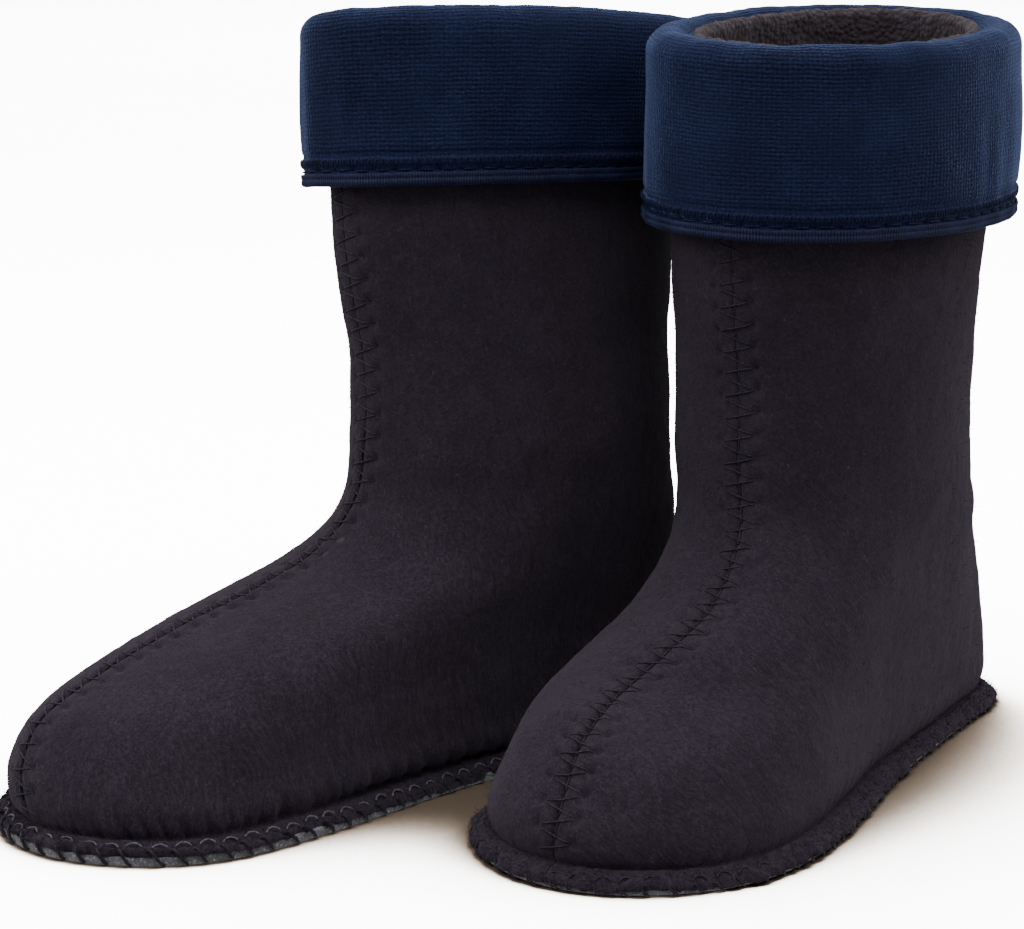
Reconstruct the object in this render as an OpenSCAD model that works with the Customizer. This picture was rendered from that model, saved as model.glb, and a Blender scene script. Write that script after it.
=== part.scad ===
// Pair of felt liners for rubber boots, each with a knit cuff folded down over its mouth.
// Millimetres, +Z up, toes towards -Y. The origin is on the floor, under the middle of the pair.
// Every piece is drawn as a left liner: X runs forward from the heel, +Y is the outer side.

/* [Upper] */
// Height of the mouth above the floor
tall = 215; // [195:1:235]
// Length of the upper, heel to toe
foot_len = 220; // [200:1:235]
// Width across the ball of the foot
ball_w = 84; // [76:1:90]
// Width across the shaft
shaft_w = 72; // [64:1:80]
// Thickness of the felt
felt_t = 2.5; // [2:0.1:3]
// Thickness of the pile lining
pile_t = 3; // [2:0.1:4]

/* [Sole] */
// Thickness of the grey sole ply
sole_t = 2.4; // [2:0.1:4]
// Width of the turned-out edge
edge_w = 5.2; // [4:0.1:7]
// Thickness of the insole
insole_t = 4; // [3:0.1:6]

/* [Cuff] */
// Length of cuff that hangs outside the right shaft
right_drop = 47.5; // [42:0.5:60]
// Length of cuff that hangs outside the left shaft
left_drop = 54.5; // [42:0.5:60]
// Thickness of the knit
cuff_t = 2.6; // [2:0.1:3]
// Gap between the felt and the hanging cuff
cuff_gap = 4.4; // [3.5:0.1:6]
// Height of the ribbed tape that binds the cuff's edge
binding_h = 3.4; // [2.5:0.1:5]
// Height of the whole stitched hem, tape included
hem_h = 7.6; // [6:0.1:9]

/* [Stitching] */
// Thickness of the thread
thread_d = 0.7; // [0.5:0.1:1]
// Width of the zigzag on the front seam
zigzag_w = 10; // [7:0.5:12]
// Length of one zigzag leg along the seam
zigzag_step = 3.2; // [2.5:0.1:5]
// Width of the overlocked ridge on the back seam
ridge_w = 4; // [3:0.5:6]
// Spacing of the stitches along the turned-out edge
edge_step = 6.6; // [5:0.1:9]
// Spacing of the straight stitches in the hem
hem_step = 6.6; // [5:0.1:9]

/* [Stance] */
// Angle that each toe turns out
splay = 7.8; // [4:0.1:12]
// Sideways distance between the two ankles
ankles_apart = 82; // [80:0.5:110]
// How far the left ankle stands behind the right one
stagger = 70.5; // [50:0.5:80]
// How far the right shaft leans outwards, in degrees at its mouth
right_lean = 8; // [4:0.5:10]
// How far the right shaft leans back, in degrees at its mouth
right_rock = 4; // [0:0.5:6]
// How far the left shaft leans outwards, in degrees at its mouth
left_lean = 1.5; // [0:0.5:4]
// How far the left shaft leans back, in degrees at its mouth
left_rock = -1.5; // [-4:0.5:3]

/* [Smoothness] */
// Steps along each side panel, back seam to front seam
panel_steps = 16; // [12:1:20]

/* [Hidden] */

felt_colour = [0.15, 0.14, 0.17];
pile_colour = [0.13, 0.11, 0.11];
ply_colour = [0.62, 0.63, 0.66];
knit_colour = [0.05, 0.14, 0.33];
tape_colour = [0.04, 0.10, 0.26];
thread_colour = [0.22, 0.20, 0.26];

// Front and back of each upper: [share of the height, share of the foot length from the heel]
right_front = [[0, 0.94], [0.05, 0.945], [0.09, 0.935], [0.15, 0.885], [0.21, 0.742], [0.28, 0.523],
               [0.35, 0.445], [0.43, 0.432], [0.54, 0.437], [0.7, 0.465], [0.86, 0.469], [1, 0.471]];
left_front = [[0, 0.94], [0.05, 0.945], [0.09, 0.935], [0.15, 0.885], [0.21, 0.75], [0.28, 0.626],
              [0.35, 0.547], [0.43, 0.53], [0.54, 0.528], [0.7, 0.55], [0.86, 0.558], [1, 0.564]];
right_back = [[0, -0.068], [0.09, -0.08], [0.23, -0.07], [0.37, -0.045], [0.51, -0.052],
              [0.7, -0.079], [0.86, -0.108], [1, -0.135]];
left_back = [[0, -0.068], [0.09, -0.08], [0.23, -0.05], [0.37, 0.01], [0.51, 0.039],
             [0.7, 0.045], [0.86, 0.031], [1, 0.015]];
// Half width of each upper: [share of the height, share of half the shaft width]
right_side = [[0, 1.21], [0.07, 1.15], [0.16, 1.01], [0.28, 1], [0.42, 0.98], [0.56, 0.87],
              [0.75, 0.825], [1, 0.81]];
left_side = [[0, 1.21], [0.07, 1.15], [0.16, 1.01], [0.28, 0.92], [0.42, 0.98], [0.56, 1.04],
             [0.75, 1.13], [1, 1.125]];
// Extra half width of the inner side, over the ankle bone
ankle_line = [[0.15, 0], [0.3, 0.05], [0.44, 0.1], [0.58, 0.06], [0.75, 0]];
// Half width of the sole: [share of the sole length from the heel, share of half the ball width]
lateral_line = [[0, 0.86], [0.15, 0.6], [0.42, 0.68], [0.7, 1], [0.88, 1.12], [1, 1.05]];
medial_line = [[0, 0.86], [0.15, 0.82], [0.42, 0.72], [0.7, 0.93], [0.88, 1.12], [1, 1.12]];
// Squareness of the plan outline, 2 for an ellipse: [share of the height, exponent]
corner_line = [[0, 3.7], [0.1, 3.4], [0.24, 2.7], [0.42, 2.15], [1, 2.15]];

foot_z = 70;                        // height over which the sole's outline fades into the shaft
ankle_x = 60;                       // the ankle, the point that the stance places
bend_z = 70;                        // height above which the shaft leans
thread_r = thread_d / 2;
thread_sides = 6;
seam_gap = 0.1;                     // half the gap between butted panels
layer_gap = 0.1;                    // gap between flat layers
lining_gap = 0.6;                   // gap between the felt and its lining, whose facets differ
ring_steps = 2 * panel_steps;       // steps around a whole cuff
edge_z = sole_t + layer_gap;        // underside of the felt's turned-out edge
edge_top = edge_z + felt_t;         // top of the turned-out edge
wall_t = felt_t + pile_t + lining_gap;
fold_r = (cuff_gap + felt_t + lining_gap + cuff_t) / 2;     // middle of the knit, over the rim
fold_d = (cuff_gap - felt_t - lining_gap) / 2;              // middle of the fold, out from the felt
fold_z = tall - fold_r - cuff_t / 2;                        // centre of the fold
felt_top = fold_z - 0.2;
cuff_leg = 1.4;                     // length of cuff inside the mouth
pile_top = fold_z - cuff_leg - 1;
knit_d = cuff_gap + cuff_t;         // outer face of the hanging cuff, out from the felt
heights = [0, 0.03, 0.06, 0.1, 0.14, 0.18, 0.22, 0.27, 0.33, 0.4, 0.5, 0.62, 0.75, 0.88, 1];

// Height of the lower edge of the cuff with its binding; $left is true for the left liner
function hem_z() = tall - ($left ? left_drop : right_drop);

// ---- smooth lines through a few points ----

// Index of the stretch of line that v lies in
function stretch(line, v, i = 0) =
    i >= len(line) - 2 || v < line[i + 1][0] ? i : stretch(line, v, i + 1);

// Slope of the line at its point i
function slope(line, i) =
    let(a = max(0, i - 1), b = min(len(line) - 1, i + 1))
    (line[b][1] - line[a][1]) / (line[b][0] - line[a][0]);

// Value of the line at v, by a cubic through its points
function curve(line, v) =
    let(
        c = max(line[0][0], min(line[len(line) - 1][0], v)),
        i = stretch(line, c),
        h = line[i + 1][0] - line[i][0],
        t = (c - line[i][0]) / h
    )
    (2 * t ^ 3 - 3 * t ^ 2 + 1) * line[i][1] + (t ^ 3 - 2 * t ^ 2 + t) * h * slope(line, i)
    + (3 * t ^ 2 - 2 * t ^ 3) * line[i + 1][1] + (t ^ 3 - t ^ 2) * h * slope(line, i + 1);

// ---- the upper's surface ----

function front_x(z) = foot_len * curve($left ? left_front : right_front, z / tall);
function back_x(z) = foot_len * curve($left ? left_back : right_back, z / tall);
function corner(z) = curve(corner_line, z / tall);

// Half width of the upper at share s of its length, on side 1 (outer) or -1 (inner)
function half_w(s, z, side) =
    let(
        foot = max(0, 1 - z / foot_z),
        ankle = side < 0 ? curve(ankle_line, z / tall) : 0,
        shaft = shaft_w / 2 * (curve($left ? left_side : right_side, z / tall) + ankle),
        sole = ball_w / 2 * curve(side > 0 ? lateral_line : medial_line, s)
    )
    shaft + (sole - shaft) * foot;

// Point of the upright surface: u runs from the back seam, 0, to the front seam, 1
function plain(u, z, side) =
    let(c = -cos(180 * u), s = (c + 1) / 2)
    [
        back_x(z) + (front_x(z) - back_x(z)) * s,
        side * half_w(s, z, side) * sqrt(max(0, 1 - abs(c) ^ corner(z))),
        z
    ];

// Outward normal of the upright surface
function normal(u, z, side) =
    let(
        d = 0.004,
        along = plain(min(1, u + d), z, side) - plain(max(0, u - d), z, side),
        up = plain(u, z + 0.5, side) - plain(u, max(0, z - 0.5), side),
        n = cross(along, up)
    )
    -side * n / norm(n);

// Outward normal in plan
function plan_normal(u, z, side) =
    let(n = normal(u, z, side), flat = [n.x, n.y, 0])
    flat / norm(flat);

// The shaft's lean, sideways and back, which grows from bend_z to the mouth
function lean(p) =
    let(
        t = max(0, (p.z - bend_z) / (tall - bend_z)),
        run = t * t * (tall - bend_z) / 2,
        side_tilt = ($left ? left_lean : right_lean) * PI / 180,
        back_tilt = ($left ? left_rock : right_rock) * PI / 180
    )
    [
        p.x - back_tilt * run,
        p.y + side_tilt * run,
        p.z - side_tilt * t * p.y + back_tilt * t * (p.x - ankle_x)
    ];

// Point at distance out from the felt's outer face, along its normal
function skin(u, z, side, out = 0) =
    let(p = plain(u, z, side) + out * normal(u, z, side))
    lean([p.x, side * max(seam_gap, side * p.y), max(edge_z, min(p.z, tall))]);

// Point at distance out from the felt's outer face, level with z
function level_skin(u, z, side, out) = lean(plain(u, z, side) + out * plan_normal(u, z, side));

// Point of a ring around the whole liner: v runs from the back seam, 0, round the outer side
function ring_point(v, z, out) =
    v < 0.5 ? level_skin(2 * v, z, 1, out) : level_skin(2 - 2 * v, z, -1, out);

// ---- solids from grids of points ----

// Two triangles for each cell of a grid of rows by cols points
function grid_faces(rows, cols, closed) = [
    for (i = [0 : rows - (closed ? 1 : 2)], j = [0 : cols - 1])
        let(
            a = i * cols + j,
            b = i * cols + (j + 1) % cols,
            c = ((i + 1) % rows) * cols + (j + 1) % cols,
            d = ((i + 1) % rows) * cols + j
        )
        each [[a, b, c], [a, c, d]]
];

// An end cap across a loop whose point j faces its point cols - 1 - j
function cap_faces(first, cols, back) = [
    for (j = [0 : cols / 2 - 2])
        let(a = first + j, b = first + j + 1, c = first + cols - 2 - j, d = first + cols - 1 - j)
        each back ? [[a, c, b], [a, d, c]] : [[a, b, c], [a, c, d]]
];

// A solid through loops of points, closed on itself or capped at both ends
module loft(loops, closed, flip) {
    rows = len(loops);
    cols = len(loops[0]);
    faces = concat(
        grid_faces(rows, cols, closed),
        closed ? [] : cap_faces(0, cols, true),
        closed ? [] : cap_faces((rows - 1) * cols, cols, false)
    );
    polyhedron(
        points = [for (loop = loops) each loop],
        faces = [for (f = faces) flip ? [f[0], f[2], f[1]] : f]
    );
}

// A straight length of thread between two points
module thread(a, b, sides = thread_sides) {
    run = b - a;
    translate(a)
        rotate([0, acos(run.z / norm(run)), atan2(run.y, run.x)])
            cylinder(h = norm(run), r = thread_r, $fn = sides);
}

// Threads joining each point of a list to the next
module thread_chain(points) {
    for (i = [0 : len(points) - 2]) thread(points[i], points[i + 1]);
}

// Separate stitches, each a pair of points
module stitches(pairs, sides = thread_sides) {
    for (pair = pairs) thread(pair[0], pair[1], sides);
}

// ---- steps of equal length along a seam ----

// Heights a step apart along the seam of the given side line, from z to end
function climb(front, z, end, step) =
    let(d = 0.5, run = front ? front_x(z + d) - front_x(z) : back_x(z + d) - back_x(z))
    z > end ? [] : concat([z], climb(front, z + step * d / norm([run, d]), end, step));

// Shares of the way round a ring, a step apart
function round_steps(z, out, step) =
    let(
        fine = 120,
        length = ring_length(z, out, fine),
        count = round(length / step)
    )
    walk(z, out, length / count, count, 0);

function ring_length(z, out, fine, i = 0) =
    i >= fine ? 0
    : norm(ring_point((i + 1) / fine, z, out) - ring_point(i / fine, z, out))
      + ring_length(z, out, fine, i + 1);

// count shares of the way round, each found from the one before
function walk(z, out, step, count, v) =
    let(d = 0.002, rate = norm(ring_point(v + d, z, out) - ring_point(v, z, out)) / d)
    count == 0 ? [] : concat([v], walk(z, out, step, count - 1, v + step / rate));

// A point on the front (end 1) or back (end 0) of the upper, across from the seam by reach
function by_seam(end, z, reach, out) =
    let(
        side = reach < 0 ? -1 : 1,
        share = abs(reach) / (PI * half_w(end, z, side) * sqrt(corner(z) / 2))
    )
    skin(end == 1 ? 1 - share : share, z, side, out);

// ---- the pieces of a liner ----

// Felt side panel with its bottom edge turned out
module upper(side) {
    above = [for (h = heights) if (h > 0.05) h * felt_top];
    inside = concat([edge_z, edge_top], above);
    outside = concat([edge_top, edge_top + 1.5], above);
    last = len(inside) - 1;
    loops = [
        for (i = [0 : panel_steps])
            let(u = i / panel_steps)
            concat(
                [edge_point(u, edge_z, side)],
                [for (z = inside) skin(u, z, side, -felt_t)],
                [for (k = [last : -1 : 0]) skin(u, outside[k], side)],
                [edge_point(u, edge_top, side)]
            )
    ];
    color(felt_colour) loft(loops, false, side > 0);
}

// A point on the rim of the turned-out edge
function edge_point(u, z, side) =
    let(p = level_skin(u, edge_z, side, edge_w))
    [p.x, side * max(seam_gap, side * p.y), z];

// Pile lining inside a side panel
module lining(side) {
    levels = concat([edge_z], [for (h = heights) if (h > 0.05) h * pile_top]);
    last = len(levels) - 1;
    loops = [
        for (i = [0 : panel_steps])
            let(u = i / panel_steps)
            concat(
                [for (z = levels) skin(u, z, side, -wall_t)],
                [for (k = [last : -1 : 0]) skin(u, levels[k], side, -felt_t - lining_gap)]
            )
    ];
    color(pile_colour) loft(loops, false, side > 0);
}

// Plan outline of the liner at height z, out from the felt's outer face
function outline(z, out, steps) = [
    for (i = [0 : steps - 1]) let(p = ring_point(i / steps, z, out)) [p.x, p.y]
];

// Grey insulating ply under the foot
module sole() {
    color(ply_colour)
        linear_extrude(sole_t) polygon(outline(edge_z, edge_w - 0.3, 2 * ring_steps));
}

// Pile insole on the sole ply, inside the lining
module insole() {
    color(pile_colour)
        translate([0, 0, edge_z])
            linear_extrude(insole_t)
                polygon(outline(edge_z + insole_t / 2, -wall_t - 1.6, 2 * ring_steps));
}

// Knit tube, from just inside the mouth, over the rim and down outside
module cuff() {
    arc = [for (a = [180 : -22.5 : 0]) a];
    bottom = hem_z() + binding_h - 1;
    falls = [0.3, 0.65, 1];
    inner_skin = concat(
        [[fold_d - fold_r + cuff_t / 2, fold_z - cuff_leg]],
        [for (a = arc) [fold_d + (fold_r - cuff_t / 2) * cos(a), fold_z + (fold_r - cuff_t / 2) * sin(a)]],
        [for (f = falls) [fold_d + fold_r - cuff_t / 2, fold_z + (bottom - fold_z) * f]]
    );
    outer_skin = concat(
        [[fold_d - fold_r - cuff_t / 2, fold_z - cuff_leg]],
        [for (a = arc) [fold_d + (fold_r + cuff_t / 2) * cos(a), fold_z + (fold_r + cuff_t / 2) * sin(a)]],
        [for (f = falls) [fold_d + fold_r + cuff_t / 2, fold_z + (bottom - fold_z) * f]]
    );
    last = len(outer_skin) - 1;
    profile = concat(inner_skin, [for (k = [last : -1 : 0]) outer_skin[k]]);
    color(knit_colour) ring_solid(profile);
}

// A closed ring around the shaft from a profile of [distance out, height]
module ring_solid(profile) {
    loops = [
        for (i = [0 : ring_steps - 1])
            [for (p = profile) ring_point(i / ring_steps, p[1], p[0])]
    ];
    loft(loops, true, false);
}

// Ribbed tape folded over the cuff's lower edge
module cuff_binding() {
    lip = 0.5;
    in_face = cuff_gap - layer_gap;
    out_face = knit_d + layer_gap;
    floor_z = hem_z() + binding_h - 1 - layer_gap;
    profile = [
        [in_face - lip, hem_z() + lip], [in_face - lip, hem_z() + binding_h],
        [in_face, hem_z() + binding_h], [in_face, floor_z],
        [out_face, floor_z], [out_face, hem_z() + binding_h],
        [out_face + lip, hem_z() + binding_h], [out_face + lip, hem_z() + lip],
        [out_face, hem_z()], [in_face, hem_z()]
    ];
    color(tape_colour) ring_solid(profile);
}

// Looped thread along the top of the hem
module cuff_overlock() {
    out = knit_d + thread_r;
    low = hem_z() + hem_h - 3;
    marks = round_steps(low, out, 2.1);
    color(tape_colour)
        stitches([for (v = marks) [ring_point(v, low, out), ring_point(v + 0.003, low + 2.4, out)]], 4);
}

// Straight running stitch through the hem
module cuff_stitch() {
    out = knit_d + thread_r;
    z = hem_z() + binding_h + 0.6;
    marks = round_steps(z, out, hem_step);
    color(thread_colour)
        stitches([for (v = marks) [ring_point(v, z, out), ring_point(v + 0.016, z, out)]]);
}

// Zigzag that closes the cuff's tube at the back
module cuff_seam() {
    step = 2.6;
    top = fold_z - 1;
    count = floor((top - hem_z() - hem_h) / step);
    points = [
        for (i = [0 : count])
            level_skin(0.02, hem_z() + hem_h + i * step, i % 2 == 0 ? 1 : -1, knit_d + thread_r)
    ];
    color(knit_colour) thread_chain(points);
}

// Wide zigzag over the butted front edges of the side panels
module front_zigzag() {
    marks = climb(true, edge_top + 2, hem_z() + 6, zigzag_step);
    points = [
        for (i = [0 : len(marks) - 1])
            by_seam(1, marks[i], (i % 2 == 0 ? 1 : -1) * zigzag_w / 2, thread_d)
    ];
    color(thread_colour) thread_chain(points);
}

// Straight thread down the middle of the front seam, under the zigzag
module front_lockstitch() {
    marks = climb(true, edge_top + 2, hem_z() + 6, 2 * zigzag_step);
    color(thread_colour)
        stitches([
            for (i = [0 : len(marks) - 2])
                [by_seam(1, marks[i], 0.4, 0),
                 by_seam(1, marks[i] + 0.8 * (marks[i + 1] - marks[i]), 0.4, 0)]
        ]);
}

// Overlocked ridge that joins the side panels at the back
module back_overlock() {
    marks = climb(false, edge_top + 2, hem_z() + 6, 2.4);
    points = [
        for (i = [0 : len(marks) - 1])
            by_seam(0, marks[i], (i % 2 == 0 ? 1 : -1) * ridge_w / 2, thread_d)
    ];
    color(thread_colour) thread_chain(points);
}

// Running stitch through the turned-out edge
module edge_stitch() {
    out = edge_w / 2;
    marks = round_steps(edge_z, out, edge_step);
    color(thread_colour)
        stitches([
            for (v = marks)
                [with_z(ring_point(v, edge_z, out), edge_top + thread_r),
                 with_z(ring_point(v + 0.008, edge_z, out), edge_top + thread_r)]
        ]);
}

function with_z(p, z) = [p.x, p.y, z];

// Thread whipped over the turned-out edge and the sole ply
module sole_whip() {
    marks = round_steps(edge_z, edge_w, edge_step);
    color(thread_colour)
        stitches([
            for (v = marks)
                [with_z(ring_point(v, edge_z, edge_w - 2.2), edge_top + thread_r),
                 with_z(ring_point(v + 0.004, edge_z, edge_w + thread_r), sole_t / 2)]
        ]);
}

// ---- the stance ----

// A point of a liner in the pair's frame, before centring
function stand(p, hand) =
    let(a = -90 + hand * splay, x = p.x - ankle_x, y = hand * p.y)
    [
        x * cos(a) - y * sin(a) + hand * ankles_apart / 2,
        x * sin(a) + y * cos(a) + hand * stagger / 2
    ];

// The plan outlines that bound the pair: each sole, and each cuff
function bounding(hand) =
    let($left = hand > 0, steps = 2 * ring_steps)
    [
        for (i = [0 : steps - 1])
            each [
                stand(ring_point(i / steps, edge_z, edge_w + thread_d), hand),
                stand(ring_point(i / steps, fold_z, knit_d), hand),
                stand(ring_point(i / steps, hem_z() + 1, knit_d + layer_gap + 0.5), hand)
            ]
    ];

bounds = concat(bounding(1), bounding(-1));
centre = [
    (min([for (p = bounds) p.x]) + max([for (p = bounds) p.x])) / 2,
    (min([for (p = bounds) p.y]) + max([for (p = bounds) p.y])) / 2
];

// Places a liner: hand 1 for the left foot, -1 for the right
module place(hand) {
    $left = hand > 0;
    translate([hand * ankles_apart / 2 - centre.x, hand * stagger / 2 - centre.y, 0])
        rotate([0, 0, -90 + hand * splay])
            mirror([0, hand > 0 ? 0 : 1, 0])
                translate([-ankle_x, 0, 0])
                    children();
}

module right() place(-1) children();
module left() place(1) children();

right() upper(1);  // right_upper_lateral
right() upper(-1);  // right_upper_medial
right() lining(1);  // right_lining_lateral
right() lining(-1);  // right_lining_medial
right() sole();  // right_sole
right() insole();  // right_insole
right() cuff();  // right_cuff
right() cuff_binding();  // right_cuff_binding
right() cuff_overlock();  // right_cuff_overlock
right() cuff_stitch();  // right_cuff_stitch
right() cuff_seam();  // right_cuff_seam
right() front_zigzag();  // right_front_zigzag
right() front_lockstitch();  // right_front_lockstitch
right() back_overlock();  // right_back_overlock
right() edge_stitch();  // right_edge_stitch
right() sole_whip();  // right_sole_whip
left() upper(1);  // left_upper_lateral
left() upper(-1);  // left_upper_medial
left() lining(1);  // left_lining_lateral
left() lining(-1);  // left_lining_medial
left() sole();  // left_sole
left() insole();  // left_insole
left() cuff();  // left_cuff
left() cuff_binding();  // left_cuff_binding
left() cuff_overlock();  // left_cuff_overlock
left() cuff_stitch();  // left_cuff_stitch
left() cuff_seam();  // left_cuff_seam
left() front_zigzag();  // left_front_zigzag
left() front_lockstitch();  // left_front_lockstitch
left() back_overlock();  // left_back_overlock
left() edge_stitch();  // left_edge_stitch
left() sole_whip();  // left_sole_whip
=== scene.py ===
"""A pair of felt boot liners with folded knit cuffs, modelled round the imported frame."""
import math
import bpy
import numpy as np
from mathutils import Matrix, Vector


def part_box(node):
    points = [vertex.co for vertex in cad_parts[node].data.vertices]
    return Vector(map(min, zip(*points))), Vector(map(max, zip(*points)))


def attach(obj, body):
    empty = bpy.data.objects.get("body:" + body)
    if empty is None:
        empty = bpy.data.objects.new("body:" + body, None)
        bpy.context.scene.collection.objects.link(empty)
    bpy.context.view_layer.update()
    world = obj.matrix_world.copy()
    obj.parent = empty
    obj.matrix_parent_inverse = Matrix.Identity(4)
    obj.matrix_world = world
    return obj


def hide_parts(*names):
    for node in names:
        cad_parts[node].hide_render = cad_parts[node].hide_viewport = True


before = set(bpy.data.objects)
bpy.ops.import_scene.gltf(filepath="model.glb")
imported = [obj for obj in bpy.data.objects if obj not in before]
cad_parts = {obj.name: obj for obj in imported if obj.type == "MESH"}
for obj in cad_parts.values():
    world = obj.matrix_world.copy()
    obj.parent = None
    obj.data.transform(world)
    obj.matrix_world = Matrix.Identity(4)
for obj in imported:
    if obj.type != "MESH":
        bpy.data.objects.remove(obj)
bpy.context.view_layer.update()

MM = 0.001
rng = np.random.default_rng(7)

# ---- the pattern of a liner, in millimetres

TALL, FOOT_LEN, BALL_W, SHAFT_W = 215.0, 220.0, 84.0, 72.0
FELT_T, PILE_T, SOLE_T, EDGE_W, INSOLE_T = 2.5, 3.0, 2.4, 5.2, 4.0
CUFF_T, CUFF_GAP, BINDING_H, HEM_H = 2.6, 4.4, 3.4, 7.6
LAYER, LINING_GAP, FOOT_Z, ANKLE_X, BEND_Z = 0.1, 0.6, 70.0, 60.0, 70.0
SPLAY, ANKLES_APART, STAGGER = 7.8, 82.0, 70.5
ZIG_W, ZIG_STEP, EDGE_STEP, HEM_STEP, BACK_STEP, LOOP_STEP = 11.6, 3.2, 6.6, 6.6, 2.9, 2.05
THREAD_R, PLY_PITCH, TUBE_STEP = 0.25, 1.5, 0.22
EDGE_DROOP = 1.5  # how far the turned-out edge hangs where its droop is 1
EDGE_Z = SOLE_T + LAYER
EDGE_TOP = EDGE_Z + FELT_T
WALL_T = FELT_T + PILE_T + LINING_GAP
FOLD_R = (CUFF_GAP + FELT_T + LINING_GAP + CUFF_T) / 2
FOLD_D = (CUFF_GAP - FELT_T - LINING_GAP) / 2
FOLD_Z = TALL - FOLD_R - CUFF_T / 2
FELT_TOP = FOLD_Z - 0.2
KNIT_D = CUFF_GAP + CUFF_T

LATERAL = [(0, 0.86), (0.15, 0.6), (0.42, 0.68), (0.7, 1), (0.88, 1.12), (1, 1.05)]
MEDIAL = [(0, 0.86), (0.15, 0.82), (0.42, 0.72), (0.7, 0.93), (0.88, 1.12), (1, 1.12)]
CORNER = [(0, 3.7), (0.1, 3.4), (0.24, 2.7), (0.42, 2.15), (1, 2.15)]
# how each liner has slumped. Lines of points give a value up the height, as a share of TALL: front, back and side
# are the outline, ankle fills the inner side, twist moves the toe end sideways and swing turns the front seam.
# whip is the thread's radius, how far it has dropped and how far it lies further in.
SHAPES = {
    "right": dict(
        hand=-1, seed=11, droop=(0.0, 1.2), slack=1.0, inset=0.45, sunk=0.36, whip=(0.46, 0.0, 0.0),
        lean=8.0, rock=4.0, drop=47.5, bulge=5.5, dip=0.8, gather=1.0,
        twist=[(0, 0), (0.05, 2.0), (0.1, 4.2), (0.18, 4.8), (0.26, 3.6), (0.34, 2), (0.5, 1.3), (1, 1)],
        swing=[(0, 0), (0.04, 0), (0.09, 0.018), (0.17, 0.05), (0.25, 0.058), (0.33, 0.045), (0.45, 0.012),
               (0.6, 0), (1, 0)],
        ankle=[(0.15, 0), (0.3, 0.05), (0.44, 0.1), (0.58, 0.06), (0.75, 0)],
        front=[(0, 0.94), (0.05, 0.951), (0.09, 0.945), (0.15, 0.891), (0.21, 0.742), (0.28, 0.523),
               (0.35, 0.445), (0.43, 0.432), (0.54, 0.437), (0.7, 0.465), (0.86, 0.469), (1, 0.471)],
        back=[(0, -0.068), (0.09, -0.08), (0.23, -0.07), (0.37, -0.045), (0.51, -0.052),
              (0.7, -0.079), (0.86, -0.108), (1, -0.135)],
        side=[(0, 1.21), (0.07, 1.15), (0.16, 1.01), (0.28, 1), (0.42, 0.98), (0.56, 0.87),
              (0.75, 0.825), (1, 0.81)]),
    "left": dict(
        hand=1, seed=3, droop=(1.0, 0.2), slack=0.5, inset=1.5, sunk=1.15, whip=(0.24, 1.3, 0.35),
        lean=1.5, rock=-1.5, drop=54.5, bulge=0.0, dip=2.9, gather=0.32,
        twist=[(0, 0), (0.12, 0), (0.19, -2.6), (0.235, 2.4), (0.275, 5.2), (0.33, 3.6), (0.45, 0), (1, 0)],
        swing=[(0, 0), (1, 0)],
        ankle=[(0.14, 0), (0.24, 0.07), (0.33, 0.16), (0.42, 0.18), (0.54, 0.12), (0.72, 0)],
        front=[(0, 0.94), (0.05, 0.945), (0.09, 0.935), (0.15, 0.885), (0.21, 0.75), (0.28, 0.626),
               (0.35, 0.547), (0.43, 0.53), (0.54, 0.528), (0.7, 0.55), (0.86, 0.558), (1, 0.564)],
        back=[(0, -0.068), (0.09, -0.08), (0.23, -0.05), (0.37, 0.01), (0.51, 0.039),
              (0.7, 0.045), (0.86, 0.031), (1, 0.015)],
        side=[(0, 1.21), (0.07, 1.15), (0.16, 1.01), (0.28, 0.92), (0.42, 0.98), (0.56, 1.04),
              (0.75, 1.13), (1, 1.125)]),
}


def curve(line, v):
    """A cubic through the points of line, at v."""
    x, y = np.array(line, float).T
    n = len(x)
    lo, hi = np.maximum(np.arange(n) - 1, 0), np.minimum(np.arange(n) + 1, n - 1)
    m = (y[hi] - y[lo]) / (x[hi] - x[lo])
    c = np.clip(v, x[0], x[-1])
    i = np.clip(np.searchsorted(x, c, side="right") - 1, 0, n - 2)
    h = x[i + 1] - x[i]
    t = (c - x[i]) / h
    return ((2 * t**3 - 3 * t**2 + 1) * y[i] + (t**3 - 2 * t**2 + t) * h * m[i]
            + (3 * t**2 - 2 * t**3) * y[i + 1] + (t**3 - t**2) * h * m[i + 1])


def noise(p, size, seed=0):
    """Smooth value noise from -1 to 1 at points p, with lumps of about that size."""
    q = np.asarray(p, float) / size + seed * 7.31
    i = np.floor(q).astype(np.int64)
    f = q - i
    w = f * f * f * (f * (f * 6 - 15) + 10)

    def corner(dx, dy, dz):
        n = (i[..., 0] + dx) * 73856093 ^ (i[..., 1] + dy) * 19349663 ^ (i[..., 2] + dz) * 83492791 ^ seed * 2654435
        n = (n ^ (n >> 13)) * 1274126177
        return ((n ^ (n >> 16)) & 0xFFFF) / 32767.5 - 1

    def mix(a, b, t):
        return a + (b - a) * t

    wx, wy, wz = w[..., 0], w[..., 1], w[..., 2]
    low, high = (mix(mix(corner(0, 0, k), corner(1, 0, k), wx), mix(corner(0, 1, k), corner(1, 1, k), wx), wy)
                 for k in (0, 1))
    return mix(low, high, wz)


def arrays(*values):
    """The values as arrays of one shape."""
    return np.broadcast_arrays(*(np.asarray(a, float) for a in values))


def crossed(a, b):
    return np.meshgrid(a, b, indexing="ij")


def run_along(path):
    """Length walked along a path, at each of its points."""
    return np.r_[0, np.cumsum(np.linalg.norm(np.diff(path, axis=0), axis=1))]


def unit(v):
    return v / np.linalg.norm(v, axis=-1, keepdims=True)


def round_share(u, side):
    """Share of the way round a ring, from the back seam over the outer side, at u on that side."""
    return np.where(side > 0, u / 2, 1 - u / 2)


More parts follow.
